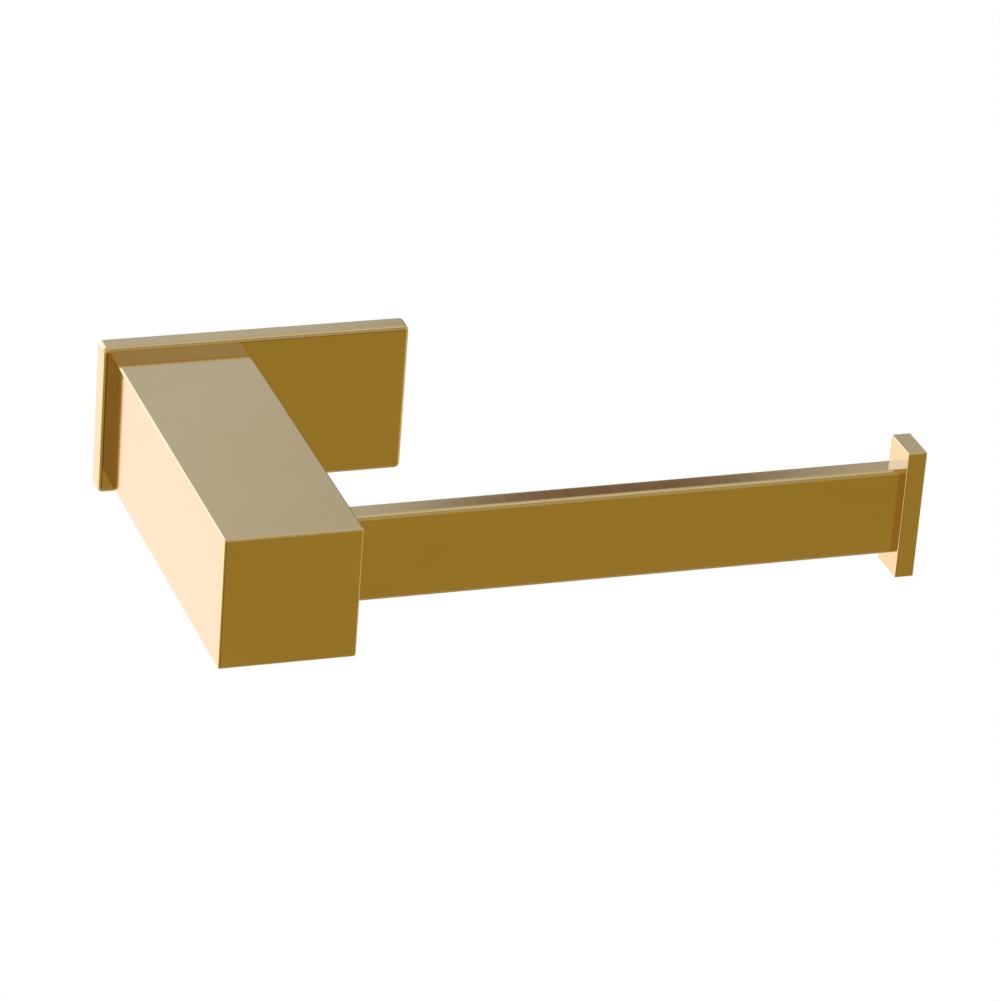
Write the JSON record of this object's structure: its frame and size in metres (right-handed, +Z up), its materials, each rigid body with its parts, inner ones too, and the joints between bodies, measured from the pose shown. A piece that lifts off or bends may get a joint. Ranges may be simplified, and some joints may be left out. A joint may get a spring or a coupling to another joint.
{
  "type": "toilet paper holder",
  "caption": "Wall-mounted open-ended toilet paper holder in brushed gold: a square post carries a flat bar with an upright end plate, and an oblong wall cover hides its bracket.",
  "frame": {"origin": "on the wall, midway between the two wall screws, which is the centre of the wall cover's back", "axes": "+Y into the wall, +Z up, +X along the bar from the post to the end plate, so the room is on the -Y side"},
  "size_m": [0.1765, 0.128, 0.038],
  "materials": {
    "wall_cover_finish": "brushed gold plating",
    "post_finish": "brushed gold plating",
    "bar_finish": "brushed gold plating",
    "end_plate_finish": "brushed gold plating",
    "bracket_steel": "cold-rolled stainless sheet",
    "screw_steel": "bright stainless",
    "zinc_screw": "bright zinc plating",
    "washer_steel": "dull zinc",
    "set_screw_steel": "dark stainless",
    "pin_steel": "ground steel"
  },
  "bodies": {
    "holder": {"wall_cover": "wall_cover_finish", "post": "post_finish", "bar": "bar_finish", "end_plate": "end_plate_finish", "wall_bracket": "bracket_steel", "wall_screw_left": "screw_steel", "wall_screw_right": "screw_steel", "wall_washer_left": "washer_steel", "wall_washer_right": "washer_steel", "post_screw_upper": "zinc_screw", "post_screw_lower": "zinc_screw", "post_washer_upper": "washer_steel", "post_washer_lower": "washer_steel", "bar_screw_inner": "zinc_screw", "bar_screw_outer": "zinc_screw", "bar_washer_inner": "washer_steel", "bar_washer_outer": "washer_steel", "end_pin_upper": "pin_steel", "end_pin_lower": "pin_steel"},
    "set_screw_left_body": {"set_screw_left": "set_screw_steel"},
    "set_screw_right_body": {"set_screw_right": "set_screw_steel"}
  },
  "joints": [
    {"name": "set_screw_left_travel", "type": "slide", "parent": "holder", "child": "set_screw_left_body", "axis": [0, 0, -1], "range_m": [0, 0.003]},
    {"name": "set_screw_right_travel", "type": "slide", "parent": "holder", "child": "set_screw_right_body", "axis": [0, 0, -1], "range_m": [0, 0.003]}
  ]
}
